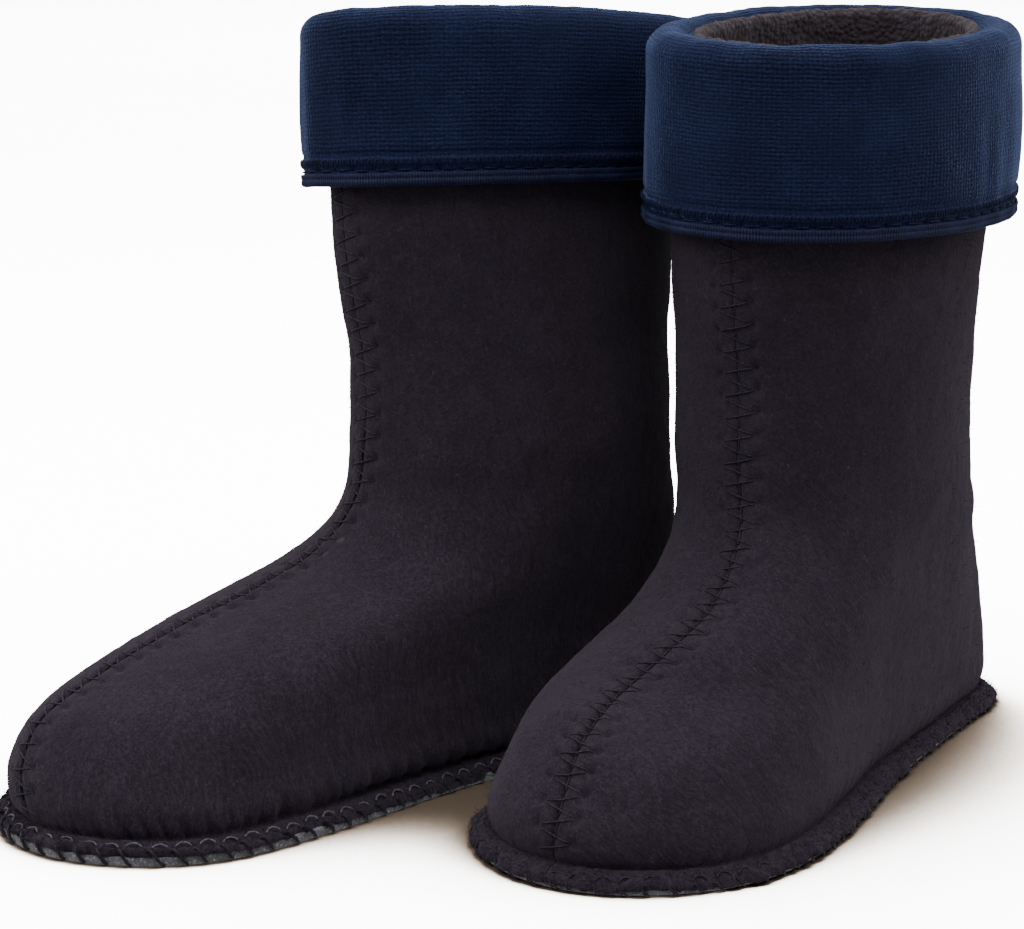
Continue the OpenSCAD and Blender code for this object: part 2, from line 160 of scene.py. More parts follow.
def seam_depth(z):
    """How deep the front seam lies: full on the foot, shallow up the shaft."""
    return 0.22 + 0.78 * np.clip((105 - z) / 40, 0, 1)


def bell(x, width):
    return np.exp(-(x / width) ** 2)


def near(x, period):
    """Distance from x to the nearest multiple of period."""
    return (x + period / 2) % period - period / 2


class Liner:
    """The surface of one liner. u runs from the back seam, 0, to the front seam, 1, on side 1 (outer) or -1."""

    def __init__(self, name):
        self.name, self.shape = name, SHAPES[name]
        self.hand = self.shape["hand"]
        self.hem = TALL - self.shape["drop"]
        self.body = name + "_liner"
        self.shift = np.zeros(3)
        v = np.linspace(0, 1, 721)[:-1]
        mine = self.place(self.ring(v, EDGE_Z, EDGE_W - 0.3))
        lo, hi = (np.array(c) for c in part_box(name + "_sole"))
        self.shift[:2] = ((lo + hi) / 2 / MM)[:2] - (mine.min(0)[:2] + mine.max(0)[:2]) / 2
        self.front_z, self.front_s = self.seam_length("front")
        self.back_z, self.back_s = self.seam_length("back")
        self.knit_v, self.knit_s = self.round_length(self.hem + 20, KNIT_D)

    def line(self, name, z):
        """One of the shape's lines, at height z."""
        return curve(self.shape[name], z / TALL)

    def front(self, z):
        return FOOT_LEN * self.line("front", z)

    def back(self, z):
        return FOOT_LEN * self.line("back", z)

    def seam_length(self, which):
        z = np.linspace(EDGE_TOP, TALL, 600)
        x = self.front(z) if which == "front" else self.back(z)
        return z, run_along(np.c_[x, z])

    def corner(self, z):
        return curve(CORNER, z / TALL)

    def half(self, s, z, side):
        foot = np.maximum(0, 1 - z / FOOT_Z)
        ankle = np.where(side < 0, self.line("ankle", z), 0)
        shaft = SHAFT_W / 2 * (self.line("side", z) + ankle)
        sole = BALL_W / 2 * np.where(side > 0, curve(LATERAL, s), curve(MEDIAL, s))
        return shaft + (sole - shaft) * foot

    def plain(self, u, z, side):
        u, z, side = arrays(u, z, side)
        turn = math.pi * u * (1 - side * self.line("swing", z))
        face = np.where(turn > math.pi, -side, side)
        c = -np.cos(turn)
        s = (c + 1) / 2
        xb, xf = self.back(z), self.front(z)
        y = face * self.half(s, z, face) * np.sqrt(np.maximum(0, 1 - np.abs(c) ** self.corner(z)))
        y = y + self.line("twist", z) * s**3
        return np.stack([xb + (xf - xb) * s, y, z], -1)

    def normal(self, u, z, side, flat=False):
        d = 0.004
        along = self.plain(np.minimum(1, u + d), z, side) - self.plain(np.maximum(0, u - d), z, side)
        up = self.plain(u, z + 0.5, side) - self.plain(u, np.maximum(0, z - 0.5), side)
        n = -np.asarray(side, float)[..., None] * np.cross(along, up)
        if flat:
            n[..., 2] = 0
        return unit(n)

    def lean(self, p):
        t = np.maximum(0, (p[..., 2] - BEND_Z) / (TALL - BEND_Z))
        run = t * t * (TALL - BEND_Z) / 2
        a, b = math.radians(self.shape["lean"]), math.radians(self.shape["rock"])
        return np.stack([p[..., 0] - b * run, p[..., 1] + a * run,
                         p[..., 2] - a * t * p[..., 1] + b * t * (p[..., 0] - ANKLE_X)], -1)

    def skin(self, u, z, side, out=0.0, flat=False, gap=0.05):
        """Points at distance out from the felt's outer face."""
        u, z, side, out = arrays(u, z, side, out)
        p = self.plain(u, z, side) + out[..., None] * self.normal(u, z, side, flat)
        if gap is not None:
            seam = self.plain(1.0, z, side)[..., 1] * (p[..., 0] > 30)
            p[..., 1] = seam + side * np.maximum(gap, side * (p[..., 1] - seam))
        return self.lean(p)

    def ring(self, v, z, out):
        """Points of a level ring: v runs from the back seam round the outer side and back."""
        v = np.asarray(v, float) % 1.0
        side = np.where(v < 0.5, 1.0, -1.0)
        return self.skin(np.where(v < 0.5, 2 * v, 2 - 2 * v), z, side, out, flat=True, gap=None)

    def place(self, p):
        a = math.radians(-90 + self.hand * SPLAY)
        x, y = p[..., 0] - ANKLE_X, self.hand * p[..., 1]
        q = np.stack([x * math.cos(a) - y * math.sin(a) + self.hand * ANKLES_APART / 2,
                      x * math.sin(a) + y * math.cos(a) + self.hand * STAGGER / 2, p[..., 2]], -1)
        return q + self.shift

    def round_length(self, z, out, n=1440):
        """Shares of the way round a level ring, and the length walked at each."""
        v = np.linspace(0, 1, n + 1)
        p = self.ring(np.minimum(v, 1 - 1e-9), z, out)
        return v, run_along(p)

    def knit_run(self, v):
        """Length walked round the knit at those shares of the way round."""
        return np.interp(v % 1, self.knit_v, self.knit_s)

    def knit_share(self, s):
        """The share of the way round the knit at those lengths."""
        return np.interp(s % self.knit_s[-1], self.knit_s, self.knit_v)

    def rim_dip(self, v, z):
        """How far the slack rim has sunk on its near side."""
        near_side = (1 + np.cos(math.tau * (np.asarray(v) - 0.375))) / 2
        t = np.clip((np.asarray(z) - TALL + 36) / 30, 0, 1)
        return -self.shape["dip"] * near_side * t * t * (3 - 2 * t)

    def reach(self, z, side, end):
        """Distance along the surface for a step of 1 in u, near the seam at that end."""
        return math.pi * self.half(float(end), z, side) * np.sqrt(self.corner(z) / 2)

    def share(self, a, z, end):
        """How far u is from the seam at a point that lies a away from it."""
        return np.abs(a) / self.reach(z, np.where(np.asarray(a) < 0, -1.0, 1.0), end)

    def off_seam(self, u, z, side, end):
        """Distance from the seam at that end to the point, along the surface."""
        return ((1 - u) if end else u) * self.reach(z, side, end)

    def relief(self, u, z, side):
        """How far the felt stands proud of its pattern: lumps, seams, stitch holes and puckers."""
        u, z, side = arrays(u, z, side)
        p = self.plain(u, z, side)
        seed = self.shape["seed"]
        out = 0.55 * noise(p, 34, seed) + 0.28 * noise(p, 13, seed + 1) + 0.10 * noise(p, 4.5, seed + 2)
        out += 0.07 * noise(p, 2.6, seed + 3) + 0.05 * noise(p, 1.3, seed + 4)
        free = 1 - bell(np.maximum(0, z - EDGE_TOP), 5)
        # front seam: a groove between two soft ridges, pitted by the needle at each zigzag tip
        a, w = self.off_seam(u, z, side, 1), np.interp(z, self.front_z, self.front_s)
        phase = np.where(side > 0, 0.0, ZIG_STEP)
        tip = near(w - phase, 2 * ZIG_STEP)
        pull = 0.75 + 0.25 * noise(p * [1, 0, 1], 22, seed + 5)
        low = seam_depth(z)
        out += free * pull * (-1.1 * low * bell(a, 0.8) + 0.42 * low * bell(a - 2.9, 1.8)
                              - 1.15 * np.exp(-((a - ZIG_W / 2) ** 2 + tip**2) / 0.8)
                              - 0.30 * bell(a - ZIG_W / 2, 2.4) * np.cos(math.pi * tip / ZIG_STEP)
                              + 0.16 * bell(a - 3.4, 1.5) * np.cos(math.pi * tip / ZIG_STEP))
        # back seam: a knobbly ridge
        a, w = self.off_seam(u, z, side, 0), np.interp(z, self.back_z, self.back_s)
        knobs = np.cos(math.tau * w / BACK_STEP + 2 * noise(p, 9, seed))
        out += free * (0.9 * bell(a, 1.7) + 0.4 * bell(a, 2.1) * knobs)
        # bottom: a crease, a soft swelling over it, and puckers between the edge stitches
        h = np.maximum(0, z - EDGE_TOP)
        s = self.walk(u, side)
        bend = s + 5.2 * noise(p, 17, seed + 7) + 0.5 * h * noise(p, 20, seed + 6)
        strength = np.clip(0.30 + 1.5 * noise(p, 19, seed + 8), 0.0, 1.5) * (1 - 0.6 * np.clip(u * 5 - 3.8, 0, 1))
        strength = strength + np.where(side < 0, 0.9, 0.3) * bell(u - 0.52, 0.16)
        pinch = near(bend, EDGE_STEP)
        out += -0.9 * bell(h, 1.6) + 0.6 * bell(h - 6.5, 4.5)
        out += self.shape["gather"] * strength * (0.38 * np.cos(math.tau * bend / EDGE_STEP) * bell(h - 3, 5.5)
                           - 0.95 * bell(pinch - EDGE_STEP / 2 * np.sign(pinch), 0.8) * bell(h - 1.5, 4.2))
        # slack felt that hangs over the turned-out edge at the arch
        slack = np.where(side < 0, 1.0, 0.35) * self.shape["slack"] * bell(u - 0.5, 0.17)
        slack = slack * (1 + 0.7 * noise(p, 8, seed + 10))
        out += slack * (1.0 * bell(h - 6.5, 3.4) - 1.1 * bell(h - 1.2, 1.5))
        # slack creases over the ankle, where the foot turns into the shaft
        q = np.stack([p[..., 0] * 0.35, p[..., 1] * 0.5, p[..., 2] + 0.35 * p[..., 0]], -1)
        out += 0.75 * noise(q, 12, seed + 9) * bell(z - 62, 30) * (1 - u**6)
        return out

    def droop(self, v):
        """How much the outer part of the turned-out edge hangs, most of all at the arch."""
        everywhere, arch = self.shape["droop"]
        return everywhere + arch * bell(v % 1.0 - 0.76, 0.1)

    def walk(self, u, side):
        """Length walked round the bottom edge, from the back seam."""
        v, s = self.round_length(EDGE_Z, EDGE_W, 720)
        return np.interp(round_share(u, side), v, s)


# ---- meshes

def grid(rows, cols, wrap_rows=False, wrap_cols=False, first=0):
    """Quads of a grid of points numbered row by row."""
    i = np.arange(rows if wrap_rows else rows - 1)
    j = np.arange(cols if wrap_cols else cols - 1)
    i, j = crossed(i, j)
    a, b = i * cols + j, i * cols + (j + 1) % cols
    c, d = ((i + 1) % rows) * cols + (j + 1) % cols, ((i + 1) % rows) * cols + j
    return np.stack([a, b, c, d], -1).reshape(-1, 4) + first


def strip(rows, cols, side=1, first=0):
    """Quads and end caps of a tube whose rows of points go round it. The side turns its faces."""
    quads = grid(rows, cols, wrap_cols=True, first=first)
    end = first + rows * cols
    caps = [list(range(first, first + cols))[::-1], list(range(end - cols, end))]
    if side < 0:
        quads, caps = quads[:, ::-1], [cap[::-1] for cap in caps]
    return quads, caps


def add(name, data):
    """A new object in the scene."""
    ob = bpy.data.objects.new(name, data)
    bpy.context.scene.collection.objects.link(ob)
    return ob


def mesh_object(L, name, points, quads, mat, node, cloth=None, caps=()):
    """A piece from points in millimetres in the liner's own frame, in place of that CAD node."""
    points = L.place(np.asarray(points, float).reshape(-1, 3)) * MM
    if L.hand < 0:
        quads, caps = quads[:, ::-1], [cap[::-1] for cap in caps]
    sizes = np.r_[np.full(len(quads), 4), [len(cap) for cap in caps]].astype(np.int32)
    loops = np.r_[quads.ravel(), np.array([i for cap in caps for i in cap], np.int64)].astype(np.int32)
    me = bpy.data.meshes.new(f"{L.name}_{name}")
    me.vertices.add(len(points))
    me.vertices.foreach_set("co", points.astype(np.float32).ravel())
    me.loops.add(len(loops))
    me.loops.foreach_set("vertex_index", loops)
    me.polygons.add(len(sizes))
    me.polygons.foreach_set("loop_start", np.r_[0, np.cumsum(sizes)[:-1]].astype(np.int32))
    if cloth is not None:
        at = me.attributes.new("cloth", "FLOAT_VECTOR", "POINT")
        at.data.foreach_set("vector", cloth.astype(np.float32).ravel())
    me.update(calc_edges=True)
    me.validate()
    me.polygons.foreach_set("use_smooth", np.ones(len(me.polygons), bool))
    me.materials.append(mat)
    ob = add(me.name, me)
    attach(ob, L.body)
    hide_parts(f"{L.name}_{node}")
    return ob


def spokes(sides, a, b):
    """Vectors evenly round each pair of crossed directions a and b."""
    turn = np.linspace(0, math.tau, sides, endpoint=False)[:, None]
    return np.cos(turn) * a[:, None] + np.sin(turn) * b[:, None]


def fine(path, step):
    """The same path with its points about step apart."""
    path = np.asarray(path, float)
    run = run_along(path)
    t = np.linspace(0, run[-1], max(5, int(run[-1] / step) + 1))
    return np.stack([np.interp(t, run, path[:, k]) for k in range(3)], -1)


def threads(L, name, paths, radius, mat, node, sides=8):
    """One piece of two-ply threads along lists of points, closed at both ends."""
    pts, quads, caps, first = [], [], [], 0
    turn = np.linspace(0, math.tau, sides, endpoint=False)
    for path in paths:
        path = fine(path, TUBE_STEP)
        n = len(path)
        tan = np.gradient(path, axis=0)
        tan /= np.linalg.norm(tan, axis=1, keepdims=True) + 1e-12
        ref = np.array([0.0, 0.0, 1.0]) if abs(tan[0][2]) < 0.9 else np.array([1.0, 0.0, 0.0])
        across = np.zeros_like(path)
        for k in range(n):
            ref = ref - tan[k] * (ref @ tan[k])
            ref /= np.linalg.norm(ref) + 1e-12
            across[k] = ref
        twist = math.pi * np.arange(n)[:, None] * TUBE_STEP / PLY_PITCH
        r = radius * (0.80 + 0.30 * np.abs(np.cos(turn[None] - twist)))
        r[[0, -1]] *= 0.55
        pts.append((path[:, None] + r[..., None] * spokes(sides, across, np.cross(tan, across))).reshape(-1, 3))
        path_quads, path_caps = strip(n, sides, -1, first)
        quads.append(path_quads)
        caps += path_caps
        first += n * sides
    return mesh_object(L, name, np.concatenate(pts), np.concatenate(quads), mat, node, caps=caps)


def whiskers(paths, radii, first):
    """Three-sided fibres along short lists of points, numbered from first: points, quads and caps."""
    count, n, _ = paths.shape
    along = paths[:, -1] - paths[:, 0]
    a = unit(np.cross(along, rng.normal(size=(count, 3))))
    pts = paths[:, :, None] + np.array(radii)[None, :, None, None] * spokes(3, a, unit(np.cross(along, a)))[:, None]
    strips = [strip(n, 3, -1, first + 3 * n * k) for k in range(count)]
    return pts.reshape(-1, 3), np.concatenate([q for q, _ in strips]), [cap for _, caps in strips for cap in caps]


# ---- materials

class Graph:
    """A new material, and short ways to add the nodes that the materials share."""

    def __init__(self, name):
        self.mat = bpy.data.materials.new(name)
        self.mat.use_nodes = True
        self.tree = self.mat.node_tree
        self.tree.nodes.clear()
        self.bsdf = self.node("BsdfPrincipled")
        self.put(self.node("OutputMaterial").inputs[0], self.bsdf.outputs[0])
        self.obj = self.node("TexCoord").outputs["Object"]

    def node(self, kind, inputs=(), **settings):
        """A node with its own settings. inputs maps sockets to values or to other nodes' outputs."""
        n = self.tree.nodes.new("ShaderNode" + kind)
        for key, value in settings.items():
            setattr(n, key, value)
        for key, value in dict(inputs).items():
            self.put(n.inputs[key], value)
        return n

    def put(self, socket, value):
        if isinstance(value, bpy.types.NodeSocket):
            self.tree.links.new(value, socket)
        elif isinstance(value, tuple) and len(value) < len(socket.default_value):
            socket.default_value = (*value, 1.0)
        else:
            socket.default_value = value

    def math(self, op, a, b=0.0):
        return self.node("Math", {0: a, 1: b}, operation=op).outputs[0]

    def times(self, value, weight):
        return self.math("MULTIPLY", value, weight)

    def sum(self, first, *rest):
        for value in rest:
            first = self.math("ADD", first, value)
        return first

    def off(self, value, weight):
        """A noise's swing about its middle, weighted."""
        return self.times(self.math("SUBTRACT", value, 0.5), weight)

    def wave(self, value, period):
        return self.math("SINE", self.times(value, math.tau / period))

    def mapped(self, vec, scale=(1, 1, 1), rot=(0, 0, 0)):
        return self.node("Mapping", {"Vector": vec, "Scale": scale, "Rotation": rot}).outputs[0]

    def cloth(self):
        """The x and y of the piece's own measure along its cloth."""
        measure = self.node("Attribute", attribute_name="cloth").outputs["Vector"]
        return self.node("SeparateXYZ", {0: measure}).outputs[:2]

    def noise(self, vec, scale, detail=3.0, rough=0.55, distort=0.0, out="Fac"):
        return self.node("TexNoise", {"Vector": vec, "Scale": scale, "Detail": detail, "Roughness": rough,
                                      "Distortion": distort}).outputs[out]

    def ramp(self, fac, *stops):
        n = self.node("ValToRGB", {0: fac})
        el = n.color_ramp.elements
        while len(el) < len(stops):
            el.new(0.5)
        for e, (pos, col) in zip(el, stops):
            e.position = pos
            e.color = (*col, 1.0) if isinstance(col, tuple) else (col, col, col, 1.0)
        return n.outputs[0]

    def mix(self, fac, a, b, kind="MIX"):
        return self.node("Mix", data_type="RGBA", blend_type=kind, inputs={0: fac, 6: a, 7: b}).outputs[2]

    def surface(self, colour, rough, gloss, relief, sheen, spread=0.5, tint=(1.0, 1.0, 1.0)):
        """Sets the shader. relief is (height, depth in metres, strength). Returns the material."""
        height, depth, strength = relief
        bump = self.node("Bump", {"Height": height, "Distance": depth, "Strength": strength}).outputs[0]
        for key, value in (("Base Color", colour), ("Roughness", rough), ("Specular IOR Level", gloss),
                           ("Normal", bump), ("Sheen Weight", sheen), ("Sheen Roughness", spread),
                           ("Sheen Tint", tint)):
            self.put(self.bsdf.inputs[key], value)
        return self.mat


def felt_material(name, streak, angle):
    """Needled felt: faint nap streaks that slant by angle, mottling, and fine pale fibres."""
    dark, mid, pale = FELT_TONES
    g = Graph(name)
    turned = g.mapped(g.mapped(g.obj, rot=(0, 0, -2.31)), rot=(angle, 0, 0))
    swirl = g.noise(g.obj, 45.0, 1.0, 0.5, out="Color")
    bent = g.node("VectorMath", {0: swirl, 1: (0.012, 0.012, 0.012), 2: turned}, operation="MULTIPLY_ADD").outputs[0]
    nap = g.noise(g.mapped(bent, (1150, 1150, 110)), 1.0, 1.5, 0.6, 0.4)
    fine_nap = g.noise(g.mapped(bent, (3200, 3200, 500)), 1.0, 2.0, 0.6, 0.8)
    low = g.ramp(g.math("DIVIDE", g.cloth()[1], 200.0), (0.25, 1.0), (0.55, 0.30))
    mottle = g.noise(g.obj, 60.0, 3.0, 0.6)
    grain = g.noise(g.obj, 1350.0, 3.0, 0.75)
    wool = g.noise(g.mapped(g.obj, (520, 520, 520)), 1.0, 3.0, 0.7, 1.6)
    lines = g.times(low, g.sum(g.off(nap, streak), g.off(fine_nap, 0.20)))
    tone = g.sum(lines, g.off(mottle, 0.13), g.off(wool, 0.20), g.off(grain, 0.30), 0.545)
    colour = g.ramp(tone, (0.36, dark), (0.52, mid), (0.70, pale))
    fibre = g.ramp(g.noise(g.mapped(g.obj, (900, 900, 560)), 1.0, 2.0, 0.8, 1.8), (0.63, 0.0), (0.72, 1.0))
    colour = g.mix(g.times(fibre, 0.42), colour, tuple(2.2 * c for c in pale))
    height = g.sum(g.times(lines, 1.2), g.times(grain, 0.5), g.times(wool, 0.7))
    return g.surface(colour, g.ramp(grain, (0.3, 0.78), (0.7, 0.95)), 0.06, (height, 0.00045, 0.9),
                     0.075, 0.45, (0.95, 0.80, 1.0))


def pile_material():
    """Brushed pile: rounded tufts with pale flecks."""
    g = Graph("pile")
    tuft = g.node("TexVoronoi", {"Vector": g.obj, "Scale": 620.0}).outputs["Distance"]
    cell = g.ramp(tuft, (0.05, 1.0), (0.75, 0.0))
    big = g.noise(g.obj, 160.0, 4.0, 0.6)
    fleck = g.ramp(g.noise(g.obj, 1900.0, 2.0, 0.8), (0.60, 0.0), (0.72, 1.0))
    colour = g.ramp(big, (0.35, (0.014, 0.0105, 0.015)), (0.62, (0.040, 0.031, 0.041)))
    colour = g.mix(g.times(cell, 0.35), colour, (0.070, 0.055, 0.062))
    colour = g.mix(g.times(fleck, 0.35), colour, (0.16, 0.13, 0.13))
    height = g.sum(g.times(cell, 0.7), g.times(big, 0.6))
    return g.surface(colour, 0.92, 0.06, (height, 0.0009, 0.9), 0.12, 0.55, (0.9, 0.82, 0.80))


def knit_material():
    """Velour knit: wales and courses from the cloth's own measure, soft blue sheen."""
    g = Graph("knit_velour")
    x, y = g.cloth()
    x = g.sum(x, g.times(g.noise(g.obj, 120.0, 2.0), 0.9))
    y = g.sum(y, g.times(g.noise(g.obj, 90.0, 2.0), 0.9))
    flow = g.node("CombineXYZ", {0: x, 1: y}).outputs[0]
    dash = g.noise(g.mapped(flow, (0.85, 1.5, 1.0)), 1.0, 2.0, 0.65, 0.6)
    loops = g.sum(g.times(g.wave(x, 1.35), 0.10), g.times(g.wave(y, 1.2), 0.22), g.off(dash, 1.35))
    loops = g.times(loops, g.ramp(g.noise(g.obj, 42.0, 3.0, 0.6), (0.34, 0.45), (0.66, 1.0)))
    fuzz = g.noise(g.obj, 1700.0, 3.0, 0.7)
    mottle = g.noise(g.obj, 55.0, 4.0, 0.6)
    tone = g.sum(g.times(loops, 0.50), g.times(fuzz, 0.55), g.times(mottle, 0.35))
    colour = g.ramp(tone, (0.22, (0.0025, 0.0038, 0.0132)), (0.47, (0.0065, 0.0101, 0.0340)),
                    (0.80, (0.0165, 0.0262, 0.0800)))
    height = g.sum(loops, g.times(fuzz, 0.35))
    return g.surface(colour, 0.72, 0.06, (height, 0.00050, 0.8), 0.50, 0.27, (0.36, 0.50, 1.0))


def tape_material():
    g = Graph("ribbed_tape")
    rib = g.wave(g.cloth()[0], 0.85)
    tone = g.sum(g.times(rib, 0.16), g.noise(g.obj, 1500.0, 3.0, 0.7))
    colour = g.ramp(tone, (0.34, (0.0020, 0.0030, 0.0115)), (0.72, (0.0125, 0.0180, 0.0600)))
    return g.surface(colour, 0.62, 0.15, (tone, 0.00018, 0.7), 0.12, 0.35, (0.35, 0.42, 1.0))


def thread_material(name, dark, pale, gloss=0.22):
    g = Graph(name)
    # the ply noise mottles the thread between its dark and pale tone: partly the thread's own uneven tone, partly
    # painted highlights along the plies
    ply = g.noise(g.mapped(g.obj, (1400, 1400, 1400)), 1.0, 2.0, 0.6, 0.6)
    return g.surface(g.ramp(ply, (0.35, dark), (0.68, pale)), 0.45, gloss, (ply, 0.00012, 0.6),
                     0.05, 0.4, tuple(c / max(pale) for c in pale))


def ply_material():
    """Pale grey pressed felt with bright flecks."""
    g = Graph("sole_ply")
    big, small = g.noise(g.obj, 220.0, 4.0, 0.65), g.noise(g.obj, 1600.0, 3.0, 0.75)
    fleck = g.ramp(g.noise(g.obj, 1250.0, 2.0, 0.85), (0.58, 0.0), (0.66, 1.0))
    colour = g.ramp(g.sum(g.times(big, 0.6), g.times(small, 0.5)),
                    (0.36, (0.030, 0.028, 0.033)), (0.58, (0.095, 0.092, 0.105)), (0.78, (0.24, 0.24, 0.27)))
    colour = g.mix(g.times(fleck, 0.6), colour, (0.46, 0.47, 0.52))
    return g.surface(colour, g.ramp(fleck, (0.0, 0.85), (1.0, 0.35)), 0.5, (small, 0.0005, 0.9), 0.2)


FELT_TONES = ((0.0090, 0.0062, 0.0104), (0.0182, 0.0131, 0.0203), (0.0390, 0.0304, 0.0426))
FELTS = {"right": felt_material("felt", 0.27, 0.12), "left": felt_material("felt_slanted_nap", 0.22, 0.75)}
PILE, KNIT, TAPE, PLY = pile_material(), knit_material(), tape_material(), ply_material()
THREAD = thread_material("seam_thread", (0.0065, 0.0048, 0.0078), (0.027, 0.0205, 0.031), 0.14)
DARK_THREAD = thread_material("edge_whip_thread", (0.0070, 0.0054, 0.0082), (0.021, 0.0168, 0.0235), 0.14)
PALE_THREAD = thread_material("edge_thread", (0.030, 0.026, 0.033), (0.125, 0.110, 0.130))
NAVY_THREAD = thread_material("navy_thread", (0.0020, 0.0032, 0.0110), (0.0085, 0.0125, 0.0400), 0.10)


# ---- the felt and its lining

# sections as (out, up) points: the felt's turned-out edge from its crease, and the pile's lip
EDGE_PATH = [(0.7, 0.25), (1.4, 0.35), (2.1, 0.3), (2.8, 0.25), (3.5, 0.1), (4.1, -0.1), (4.7, -0.4), (5.1, -0.8),
             (5.35, -1.3), (5.4, -1.8), (5.2, -2.3), (4.4, -2.5), (3.0, -2.5), (1.5, -2.5)]
EDGE_FACE = 10  # how many of those points are on the upper face
PILE_LIP = [(-6.5, -6.5), (-7.1, -4.0), (-7.9, -1.0), (-8.5, 1.6), (-8.7, 3.2), (-8.2, 4.5), (-7.2, 5.2),
            (-6.3, 5.1), (-5.9, 4.2), (-6.1, 2.2), (-6.1, 0.0), (-6.1, -1.8), (-5.2, -2.4)]
LIP_TUFTS = 8  # how many of those points are tufted
SIDE_NAMES = {1: "lateral", -1: "medial"}


def cut_area(points):
    """Area in square metres of a grid of points in millimetres."""
    a, b = points[1:, :-1] - points[:-1, :-1], points[:-1, 1:] - points[:-1, :-1]
    return float(np.linalg.norm(np.cross(a, b), axis=-1).sum()) * MM * MM


def felt_edge(L, u, side):
    """The turned-out edge: out from the crease, over the cut and back underneath."""
    s = L.walk(u, side)
    flat = L.plain(u, EDGE_TOP, side) * [1, 1, 0]
    ruffle = (0.35 * np.cos(math.tau * s / EDGE_STEP + 2.5 * noise(flat, 15, 21)) + 0.75 * noise(flat, 7, 22)
              + 0.35 * noise(flat, 2.4, 25) + 0.6 * noise(flat, 19, 29))
    droop = L.droop(round_share(u, side))
    rows = []
    for k, (o, z) in enumerate(EDGE_PATH):
        face = k < EDGE_FACE
        edge = o / EDGE_W
        lump = flat + [0, 0, 1.1 * k]
        out = o + ruffle * edge**2 + 0.30 * noise(lump, 2.2, 23)
        up = z - droop * EDGE_DROOP * edge**2 * (1 if face else 0.8)
        if face:
            out = out + 0.22 * noise(lump, 1.1, 26)
            up = up + 0.60 * noise(lump, 4.5, 24) + 0.42 * noise(lump, 1.7, 27) + 0.7 * edge * noise(flat, 22, 28)
            up = up - 0.55 * bell(o - 3.3, 0.9) * (1 + np.cos(math.tau * (s / EDGE_STEP + 0.5))) / 2
        q = L.skin(u, EDGE_Z, side, out, flat=True)
        q[:, 2] = np.maximum(EDGE_TOP + up, EDGE_Z if not face and L.hand < 0 else 0.45)
        rows.append(q)
    return np.stack(rows, 1)


def loose_fibres(L, u, side, rim):
    """Short fibres that stand off the wall and, closer together, off the turned-out edge."""
    hairs = []
    for zone, count in (("wall", 1900), ("edge", 2300)):
        ru = rng.random(count)
        if zone == "wall":
            rz = EDGE_TOP + 1 + (L.hem + 4 - EDGE_TOP) * rng.random(count) ** 1.15
            proud = L.relief(ru, rz, side)
            root = L.skin(ru, rz, side, proud - 0.1)
            ahead = L.skin(ru, rz, side, proud + 1.0) - root
        else:
            pick = (rng.random(count) * len(u)).astype(int)
            root = rim[pick, rng.integers(1, EDGE_FACE, count)]
            ahead = root - L.skin(u[pick], EDGE_Z + 1.2, side, 2.6, flat=True)
        length = rng.uniform(0.5, 1.5, count)
        way = unit(unit(ahead) + 0.75 * rng.normal(size=(count, 3)))
        curl = 0.45 * rng.normal(size=(count, 3))
        t = np.array([0, 0.5, 1.0])[None, :, None]
        path = root[:, None] + (way[:, None] * t + curl[:, None] * t**2) * length[:, None, None]
        path[..., 2] = np.maximum(path[..., 2], 0.25)
        hairs.append(path)
    return np.concatenate(hairs)


def felt_panel(L, side):
    name = SIDE_NAMES[side]
    u = np.linspace(0, 1, 251)
    heights = np.r_[np.linspace(EDGE_TOP, 26, 30), np.linspace(26, 62, 92)[1:], np.linspace(62, FELT_TOP, 118)[1:]]
    U, Z = crossed(u, heights)
    outer = L.skin(U, Z, side, L.relief(U, Z, side))
    rim = felt_edge(L, u, side)
    UI, ZI = crossed(u, np.linspace(EDGE_Z, FELT_TOP, 16))
    inner = L.skin(UI, ZI, side, -FELT_T)
    inner[..., 2] = np.maximum(inner[..., 2], EDGE_Z)
    wall = np.concatenate([inner, outer[:, ::-1], rim], 1)
    quads, caps = strip(*wall.shape[:2], side)
    wall = wall.reshape(-1, 3)
    fibres, fibre_quads, fibre_caps = whiskers(loose_fibres(L, u, side, rim), (0.075, 0.06, 0.02), len(wall))
    # the second measure is the height, with which the streaks of the outer face fade
    cloth = np.zeros((len(wall) + len(fibres), 3))
    cloth[:len(wall), 1] = np.concatenate([0 * ZI, Z[:, ::-1], 0 * rim[..., 0]], 1).ravel()
    ob = mesh_object(L, f"{name}_felt", np.concatenate([wall, fibres]), np.concatenate([quads, fibre_quads]),
                     FELTS[L.name], f"upper_{name}", cloth, caps + fibre_caps)
    float(np.ptp(L.walk(u, side))) * MM
    cut_area(L.skin(U[::5], Z[::5], side)) + cut_area(rim[:, :9])


